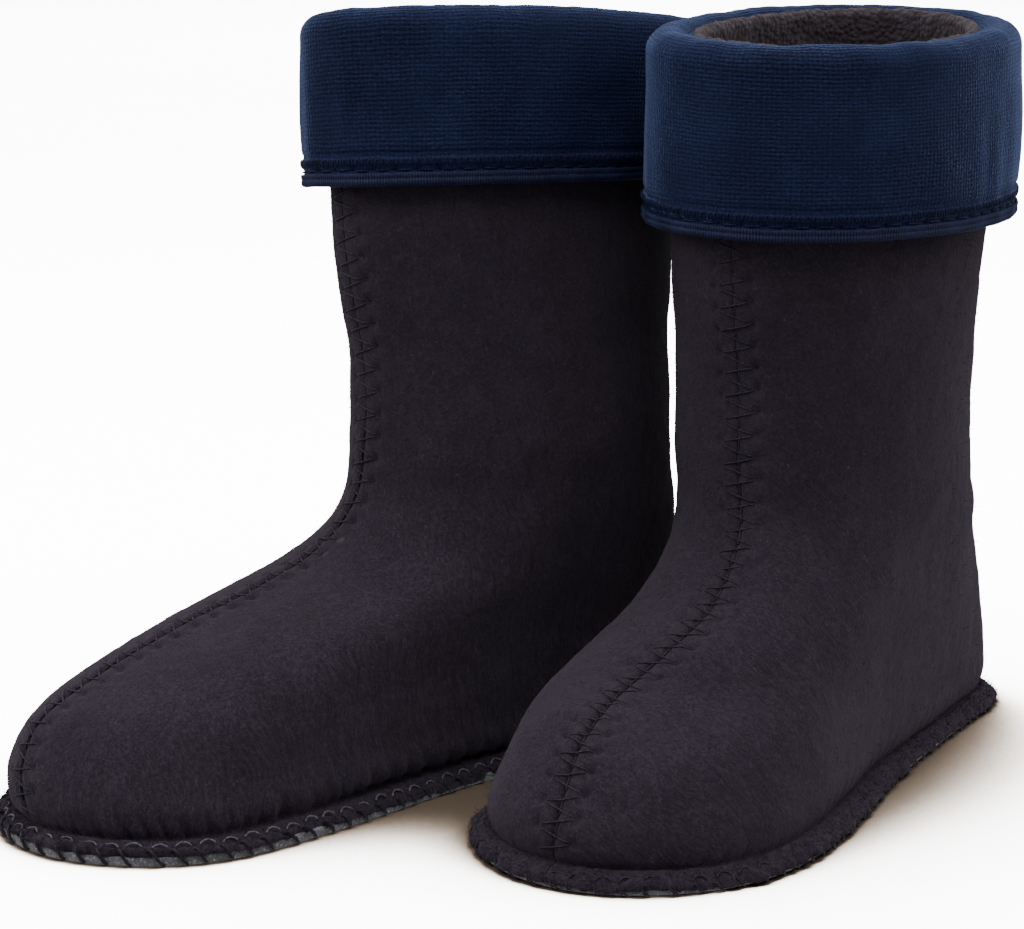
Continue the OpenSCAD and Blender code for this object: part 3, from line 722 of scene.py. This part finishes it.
def lining(L, side):
    name = SIDE_NAMES[side]
    u = np.linspace(0, 1, 111)
    heights = np.r_[np.linspace(EDGE_Z + 0.4, 150, 40), np.linspace(150, FOLD_Z - 8, 60)[1:]]
    U, Z = crossed(u, heights)
    base = L.plain(U, Z, side)
    fluff = 0.45 * noise(base, 3.2, 31) + 0.25 * noise(base, 1.5, 32) + 0.5 * noise(base, 14, 33)
    inner = L.skin(U, Z, side, -WALL_T - fluff * np.minimum(1, (Z - EDGE_Z) / 12))
    lip = []
    for k, (out, up) in enumerate(PILE_LIP):
        q = np.stack([base[:, -1, 0], base[:, -1, 1], 0 * u + 3.0 * k], -1)
        tuft = k < LIP_TUFTS
        z = FOLD_Z + up + L.rim_dip(round_share(u, side), FOLD_Z + up) + tuft * 0.45 * noise(q, 2.4, 34)
        lip.append(L.skin(u, z, side, out - tuft * (0.35 * noise(q, 2.0, 35) + 0.3 * noise(q, 6.0, 36))))
    UO, ZO = crossed(u, np.linspace(FOLD_Z - 3.4, EDGE_Z + 0.4, 12))
    outer = L.skin(UO, ZO, side, -FELT_T - LINING_GAP)
    for face in (inner, outer):
        face[..., 2] = np.maximum(face[..., 2], EDGE_Z + 0.3)
    pts = np.concatenate([inner, np.stack(lip, 1), outer], 1)
    quads, caps = strip(*pts.shape[:2], side)
    ob = mesh_object(L, f"{name}_pile", pts, quads, PILE, f"lining_{name}", caps=caps)
    walked = L.round_length(EDGE_Z, -WALL_T, 720)[1][-1]
    cut_area(outer) * 1.03


def slab(L, name, out, z0, z1, mat, node, wave, lumps):
    """A flat ply with a soft edge. Its top and bottom are rings that shrink to the middle line."""
    v = np.arange(420) / 420
    edge = L.ring(v, EDGE_Z, out)
    spine = edge * [1, 0, 1]
    spine[:, 0] = np.clip(edge[:, 0], L.back(EDGE_Z) + 30, L.front(EDGE_Z) - 34)
    shrink = np.linspace(0, 1, 26) ** 1.1

    def level(s, z):
        q = edge + (spine - edge) * s * 0.985
        q[:, 2] = z
        return q

    rows = [level(s, z0) for s in shrink[::-1]]
    for tilt in (-60, -25, 10, 45, 75):
        a = math.radians(tilt)
        q = L.ring(v, EDGE_Z, out + 0.27 * math.cos(a) + wave * noise(edge + [0, 0, tilt * 0.05], 2.2, 41))
        q[:, 2] = z0 + (z1 - z0) * (0.5 + 0.5 * math.sin(a))
        rows.append(q)
    for s in shrink:
        q = level(s, z1)
        q[:, 2] += lumps * (0.5 * noise(q, 3.2, 42) + 0.5 * noise(q, 1.7, 43)) * min(1.0, 6 * s)
        rows.append(q)
    quads, caps = strip(len(rows), len(v))
    return mesh_object(L, name, np.stack(rows), quads, mat, node, caps=caps)


# ---- the knit cuff

def ring_piece(L, name, section, n, mat, node, moved):
    """A closed ring round the shaft with a section of (out, z) points, each moved by moved(V, O, Z)."""
    section = np.array(section)
    V, O = crossed(np.arange(n) / n, section[:, 0])
    Z = np.broadcast_to(section[:, 1], V.shape)
    out, up = moved(V, O, Z)
    cloth = np.stack([L.knit_run(V), np.broadcast_to(run_along(section), V.shape), 0 * V], -1)
    quads = grid(n, len(section), wrap_rows=True, wrap_cols=True)
    return mesh_object(L, name, L.ring(V, Z + up, O + out), quads, mat, node, cloth)


def settle(L):
    """Hangs the knit from its fold as cloth, a little wider than its seam, and keeps how far it moved."""
    n, m = 144, 22
    v, z = np.arange(n) / n, np.linspace(FOLD_Z - 0.5, L.hem + 1, m)
    V, Z = crossed(v, z)
    start = L.ring(V, Z, KNIT_D)
    L.slack_z, L.slack = z, np.zeros((2, n, m))
    me = bpy.data.meshes.new("hanging_knit")
    me.from_pydata((start.reshape(-1, 3) * MM).tolist(), [], grid(n, m, wrap_rows=True).tolist())
    ob = add(me.name, me)
    held = ob.vertex_groups.new(name="held")
    for row, weight in ((0, 1.0), (1, 0.8), (2, 0.35)):
        held.add([i * m + row for i in range(n)], weight, "REPLACE")
    mod = ob.modifiers.new("Cloth", "CLOTH")
    cloth = mod.settings
    cloth.quality, cloth.mass, cloth.air_damping = 8, 0.25, 2.0
    cloth.tension_stiffness = cloth.compression_stiffness = 14
    cloth.shear_stiffness, cloth.bending_stiffness = 5, 1.2
    cloth.shrink_min = -0.022
    cloth.vertex_group_mass = "held"
    mod.collision_settings.use_collision = mod.collision_settings.use_self_collision = False
    for frame_no in range(1, 25):
        bpy.context.scene.frame_set(frame_no)
    seen = ob.evaluated_get(bpy.context.evaluated_depsgraph_get()).to_mesh()
    end = np.empty(3 * n * m, np.float32)
    seen.vertices.foreach_get("co", end)
    move = end.reshape(n, m, 3) / MM - start
    way = L.ring(V, Z, KNIT_D + 1) - start
    out = (move * way).sum(-1)
    for _ in range(2):
        out = (np.roll(out, 1, 0) + 2 * out + np.roll(out, -1, 0)) / 4
    L.slack = np.stack([np.clip(out, -1.6, 2.2), np.clip(move[..., 2], -1.2, 0.8)])
    bpy.data.objects.remove(ob)
    bpy.context.scene.frame_set(1)


def hang(L, v, z):
    """How far the knit moved out and down when it was hung, at points of the ring."""
    _, n, m = L.slack.shape
    a = (np.asarray(v) % 1.0) * n
    b = np.interp(-np.asarray(z), -L.slack_z, np.arange(m))
    i, j = a.astype(int) % n, np.minimum(b.astype(int), m - 2)
    s, t = a - a.astype(int), b - j
    upper, lower = (L.slack[:, i, k] * (1 - s) + L.slack[:, (i + 1) % n, k] * s for k in (j, j + 1))
    return upper * (1 - t) + lower * t


def hem_relief(L, z, run, p):
    """How far the knit stands proud: slack waves, the hem's groove and rows of stitches."""
    h = z - L.hem
    groove = h - BINDING_H - 0.75
    out = 0.55 * noise(p, 30, 51) + 0.22 * noise(p, 11, 52) + 0.45 * bell(h - 22, 18)
    out += 0.25 * bell(h - HEM_H + 1.4, 1.3) - 0.55 * bell(h - HEM_H - 0.7, 0.8) - 0.65 * bell(groove, 0.75)
    return out - 0.55 * np.exp(-((groove / 0.9) ** 2 + (near(run, HEM_STEP) / 0.9) ** 2))


def cuff(L):
    """The knit tube: up inside the felt, over the fold and down to the hem. Also returns its flat size."""
    bottom = L.hem + BINDING_H - 1

    def face(half, bend, falls):
        """One face in section as (out, z), at half the knit's thickness from its middle."""
        side = [(FOLD_D - FOLD_R - half, FOLD_Z - 1.4)]
        side += [(FOLD_D + (FOLD_R + half) * math.cos(a), FOLD_Z + (FOLD_R + half) * math.sin(a)) for a in bend]
        return side + [(FOLD_D + FOLD_R + half, FOLD_Z + (bottom - FOLD_Z) * f) for f in falls[1:]]

    bend = np.radians(np.linspace(180, 0, 26))
    outer = face(CUFF_T / 2, bend, np.linspace(0, 1, 64))
    inner = face(-CUFF_T / 2, bend[::3], np.linspace(0, 1, 12))

    def moved(V, O, Z):
        q = L.ring(V, Z, O)
        column = np.arange(V.shape[1])
        on = np.where(column < len(outer), 1.0, 0.0)
        falls = O > FOLD_D
        hung = hang(L, V, Z) * (falls & (Z < FOLD_Z))
        out = hem_relief(L, Z, L.knit_run(V), q) * on * falls + hung[0]
        out = out + L.shape["bulge"] * bell(near(V, 1.0), 0.07) * falls
        lift = (Z > FOLD_Z - 1) * on * (0.30 * noise(q, 9, 53) + 0.12 * noise(q, 3, 54))
        edge = on * bell(column, 2.5)
        return (out + edge * 0.35 * noise(q, 2.4, 55),
                lift + edge * 0.5 * noise(q, 2.1, 56) + L.rim_dip(V, Z) + hung[1])

    ob = ring_piece(L, "cuff_knit", outer + inner[::-1], 620, KNIT, "cuff", moved)
    return ob, (L.knit_s[-1] * MM * 0.93, (run_along(outer)[-1] + 0.5) * MM)


def binding(L):
    """Tape folded over the hem, its outer face in two ribbed ridges."""
    a, b = CUFF_GAP - LAYER, KNIT_D + LAYER
    top = L.hem + BINDING_H
    pts = [(a - 0.45, L.hem + 0.5), (a - 0.5, L.hem + 1.8), (a - 0.4, top - 0.1), (a, top), (a, top - 1.1),
           (b, top - 1.1), (b, top)]
    for t in np.linspace(0, 1, 17):
        ridge = 0.34 * abs(math.sin(math.tau * (0.06 + 0.94 * t))) ** 0.7
        pts.append((b + 0.22 + ridge, top - t * (BINDING_H - 0.3)))
    pts += [(b + 0.1, L.hem + 0.02), (b - 0.8, L.hem - 0.12), ((a + b) / 2, L.hem - 0.15), (a + 0.3, L.hem - 0.02)]

    def moved(V, O, Z):
        q = L.ring(V, Z, O)
        ribs = 0.10 * np.cos(math.tau * L.knit_run(V) / 0.9) + 0.10 * noise(q, 7, 61)
        hung = hang(L, V, Z)
        return (O > b + 0.15) * ribs + 0.40 * noise(q, 30, 51) + hung[0], 0.16 * noise(q, 16, 62) + hung[1]

    return ring_piece(L, "cuff_tape", pts, 1480, TAPE, "cuff_binding", moved)


def on_cuff(L, s, z, out):
    """Points that follow the knit's relief, where s is walked round it."""
    v, z, out = arrays(L.knit_share(s), z, out)
    q = L.ring(v, z, KNIT_D)
    hung = hang(L, v, z)
    return L.ring(v, z + hung[1], KNIT_D + out + hung[0] + hem_relief(L, z, L.knit_run(v), q))


def hem_threads(L):
    total = L.knit_s[-1]
    # overlock: a row of small upright loops
    paths = []
    count = int(total / LOOP_STEP)
    arch = np.sin(np.linspace(0, math.pi, 9))
    for k in range(count):
        s = k * total / count + 0.62 * np.cos(np.linspace(0, math.pi, 9)) + 0.12 * rng.normal()
        z = L.hem + HEM_H - 2.6 + 2.1 * arch + 0.10 * rng.normal()
        paths.append(on_cuff(L, s, z, (-0.45 + 0.75 * arch**0.5) * 0.5 + 0.08))
    loops = threads(L, "cuff_overlock_thread", paths, 0.25, NAVY_THREAD, "cuff_overlock", 7)
    # running stitch in the groove above the tape
    count = round(total / HEM_STEP)
    t = np.linspace(0, 1, 10)
    paths = [on_cuff(L, (k + 0.10 + 0.80 * t) * total / count, L.hem + BINDING_H + 0.75 + 0.10 * np.sin(k * 2.4),
                     -0.35 + 0.75 * np.sin(math.pi * t) ** 0.4) for k in range(count)]
    running = threads(L, "cuff_running_stitch", paths, 0.30, NAVY_THREAD, "cuff_stitch")
    # zigzag that closes the tube at the back
    z = np.arange(L.hem + HEM_H + 1, FOLD_Z - 1, 1.3)
    t = np.linspace(0, 1, 7)
    paths = [on_cuff(L, (1 if k % 2 else -1) * 1.3 * (1 - 2 * t), z[k] + (z[k + 1] - z[k]) * t,
                     -0.35 + 0.6 * np.sin(math.pi * t) ** 0.5) for k in range(len(z) - 1)]
    back = threads(L, "cuff_back_zigzag", paths, 0.24, NAVY_THREAD, "cuff_seam", 7)
    return [loops, running, back]


# ---- the felt's seams and the sole's edge

def on_seam(L, end, a, w, lift):
    """Points that follow the felt's relief, at distance a from a seam and w along it."""
    a, w, lift = arrays(a, w, lift)
    z = np.interp(w, L.front_s, L.front_z) if end else np.interp(w, L.back_s, L.back_z)
    side = np.where(a < 0, -1.0, 1.0)
    far = L.share(a, z, end)
    u = 1 - far if end else far
    return L.skin(u, z, side, L.relief(u, z, side) + lift, gap=None)


def seam_threads(L):
    top = L.hem + 6
    end_w = np.interp(top, L.front_z, L.front_s)
    # wide zigzag over the front seam, each leg bowed over the felt with its ends drawn in
    paths = []
    t = np.linspace(0, 1, 15)
    bow = np.sin(math.pi * t)
    for k in range(1, int((end_w - 3) / ZIG_STEP)):
        a = (-1) ** k * ZIG_W / 2 * (1 - 2 * t)
        w = (k + t) * ZIG_STEP
        groove = 0.85 * seam_depth(np.interp(w, L.front_s, L.front_z)) * bell(a, 1.0)
        w = w + 0.22 * rng.normal() * bow
        paths.append(on_seam(L, 1, a, w, -0.75 + 0.88 * np.minimum(1, bow * 2.0) + groove + 0.07 * rng.normal()))
    threads(L, "front_zigzag_thread", paths, THREAD_R, THREAD, "front_zigzag")
    # straight stitches down the seam's groove, sunk out of sight up the shaft
    paths = []
    step = 2 * ZIG_STEP
    for k in range(1, int((end_w - 3) / step)):
        low = np.clip((100 - np.interp(k * step, L.front_s, L.front_z)) / 25, 0, 1)
        lift = (0.60 * low - 0.22) + 0.30 * np.sin(math.pi * np.linspace(0, 1, 9))
        paths.append(on_seam(L, 1, 0.35, (k + np.linspace(0.06, 0.80, 9)) * step, lift))
    threads(L, "front_straight_stitch", paths, THREAD_R * 0.9, THREAD, "front_lockstitch")
    # overlock loops over the back ridge
    paths = []
    t = np.linspace(0, 1, 13)
    lift = -0.35 + 0.75 * np.minimum(1, np.sin(math.pi * t) * 2.0)
    for k in range(1, int((np.interp(top, L.back_z, L.back_s) - 2) / BACK_STEP)):
        paths.append(on_seam(L, 0, 2.3 * (1 - 2 * t), (k + 0.55 * t + 0.06 * rng.normal()) * BACK_STEP, lift))
    threads(L, "back_overlock_thread", paths, 0.36, THREAD, "back_overlock")


def edge_threads(L):
    v, s = L.round_length(EDGE_Z, EDGE_W)
    total = s[-1]
    count = round(total / EDGE_STEP)

    def spot(run, out):
        """Points on the ring, and how much the turned-out edge hangs there."""
        share = np.interp(run % total, s, v)
        return L.ring(share, EDGE_Z, out), L.droop(share)

    # arcs of running stitch along the turned-out edge
    paths = []
    t = np.linspace(0, 1, 13)
    for k in range(count):
        run = (k + 0.14 + 0.66 * t + 0.04 * rng.normal()) * total / count
        o = 3.9 - 0.95 * np.sin(math.pi * t) + 0.15 * rng.normal()
        q, droop = spot(run, o)
        q[:, 2] = (EDGE_TOP + 0.15 - droop * EDGE_DROOP * (o / EDGE_W) ** 2 - L.shape["sunk"]
                   + 0.75 * np.sin(math.pi * t) ** 0.5 + 0.22 * rng.normal())
        paths.append(q)
    threads(L, "edge_running_stitch", paths, 0.24, EDGE_THREADS[L.name], "edge_stitch")
    # whip stitches: slanting over the edge and round the sole ply
    radius, drop, inset = L.shape["whip"]
    paths = []
    t = np.linspace(0, 1, 19)
    o, up = (np.interp(t, np.linspace(0, 1, len(WHIP_PATH)), column) for column in np.array(WHIP_PATH).T)
    for k in range(count):
        run = (k + 0.92) * total / count + (3.6 + 0.5 * rng.normal()) * t * -L.hand + 0.5 * rng.normal()
        q, droop = spot(run, o - inset + 0.10 * rng.normal())
        q[:, 2] = np.maximum(0.28, EDGE_TOP + up - drop * (1 - t) - droop * 0.9 * (o / EDGE_W) ** 2 * (t < 0.6))
        paths.append(q)
    threads(L, "whip_thread", paths, radius, DARK_THREAD, "sole_whip")


EDGE_THREADS = {"right": PALE_THREAD, "left": THREAD}
WHIP_PATH = [(4.3, -1.2), (4.9, -0.5), (5.5, -0.7), (5.9, -1.6), (5.85, -2.6), (5.75, -3.5), (5.5, -4.3), (5.0, -4.75)]
LINERS = [Liner("right"), Liner("left")]
for L in LINERS:
    for side in (1, -1):
        felt_panel(L, side)
        lining(L, side)
    sole = slab(L, "sole_felt", EDGE_W - L.shape["inset"], 0.0, SOLE_T, PLY, "sole", 0.22, 0.0)
    insole = slab(L, "insole_pile", -WALL_T - 1.6, EDGE_Z + 0.1, EDGE_Z + INSOLE_T, PILE, "insole", 0.2, 0.7)
    size = np.ptp(L.ring(np.linspace(0, 1, 400), EDGE_Z, EDGE_W - 1), axis=0) * MM
    settle(L)
    knit, cut = cuff(L)
    binding(L)
    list(hem_threads(L))
    seam_threads(L)
    edge_threads(L)


# ---- the studio

def floor():
    """A white sweep, with a tan contact shadow painted into its colour where the liners close it in."""
    me = bpy.data.meshes.new("studio_floor")
    s = 6.0
    me.from_pydata([(-s, -s, 0), (s, -s, 0), (s, s, 0), (-s, s, 0)], [], [(0, 1, 2, 3)])
    ob = add(me.name, me)
    g = Graph("pale_floor")
    shade = g.node("AmbientOcclusion", {"Distance": 0.12}, samples=48).outputs["AO"]
    white = g.ramp(g.noise(g.obj, 3.0, 2.0), (0.3, (0.93, 0.93, 0.93)), (0.7, (0.95, 0.95, 0.95)))
    # painted shadow: this ramp darkens the floor's colour towards tan by its ambient occlusion, so a contact shadow is
    # painted next to the liners
    tan = g.ramp(shade, (0.50, (0.016, 0.0120, 0.0090)), (0.60, (0.060, 0.047, 0.036)),
                 (0.67, (0.26, 0.228, 0.200)), (0.77, (0.82, 0.800, 0.78)), (0.90, (1.0, 1.0, 1.0)))
    g.put(g.bsdf.inputs["Base Color"], g.mix(1.0, tan, white, "MULTIPLY"))
    g.put(g.bsdf.inputs["Roughness"], 1.0)
    g.put(g.bsdf.inputs["Specular IOR Level"], 0.0)
    me.materials.append(g.mat)
    # the liners take their light from the studio round them, not from this sheet
    ob.visible_diffuse = ob.visible_glossy = ob.visible_shadow = False
    return ob


def lamp(name, place, target, size, power):
    d = bpy.data.lights.new(name, "AREA")
    d.shape, d.size, d.energy = "DISK", size, power
    ob = add(name, d)
    ob.location = place
    ob.rotation_euler = (Vector(target) - Vector(place)).to_track_quat("-Z", "Y").to_euler()
    return ob


floor_ob = floor()
world = bpy.data.worlds.new("studio")
bpy.context.scene.world = world
world.use_nodes = True
sky = world.node_tree.nodes["Background"].inputs
sky[0].default_value, sky[1].default_value = (1.0, 1.0, 1.0, 1.0), 0.55
for name, place, aim_z, size, power in (
        ("left_box", (-0.80, -1.05, 0.95), 0.10, 1.1, 15), ("right_box", (1.15, 0.70, 0.95), 0.10, 1.1, 8),
        ("top_box", (0.05, 0.1, 1.5), 0.2, 0.9, 9), ("front_box", (0.75, -0.75, 1.65), 0.10, 1.0, 14)):
    lamp(name, place, (0, 0, aim_z), size, power)
# the white sweep has its own soft lamps, which light nothing else
only_floor = bpy.data.collections.new("floor_only")
only_floor.objects.link(floor_ob)
for k, (x, y, z, size, power) in enumerate([(0.3, -0.3, 1.5, 2.6, 330), (-0.9, 0.9, 1.8, 2.4, 170),
                                            (-3.2, 3.4, 3.2, 6.5, 2600)]):
    sweep = lamp(f"sweep_{k}", (x, y, z), (x, y, 0), size, power)
    sweep.light_linking.receiver_collection = only_floor

# the camera, placed from the right liner's ankle in millimetres; its lens and shift are for 1024 columns
EYE, EYE_UP, PITCH, COLUMNS = (510.7, -619.7), 248.2, 0.1694, 1024
cam_data = bpy.data.cameras.new("camera")
cam_data.sensor_fit, cam_data.sensor_width = "HORIZONTAL", 36.0
cam_data.lens = 2776.6 / COLUMNS * 36.0
cam_data.shift_y = -90.1 / COLUMNS
cam_data.clip_end = 50
cam = add("camera", cam_data)
ankle = LINERS[0].shift
cam.location = ((ankle[0] + EYE[0]) * MM, (ankle[1] + EYE[1]) * MM, EYE_UP * MM)
ahead = Vector((-0.6742 * math.cos(PITCH), 0.7385 * math.cos(PITCH), -math.sin(PITCH)))
cam.rotation_euler = ahead.to_track_quat("-Z", "Y").to_euler()
bpy.context.scene.camera = cam
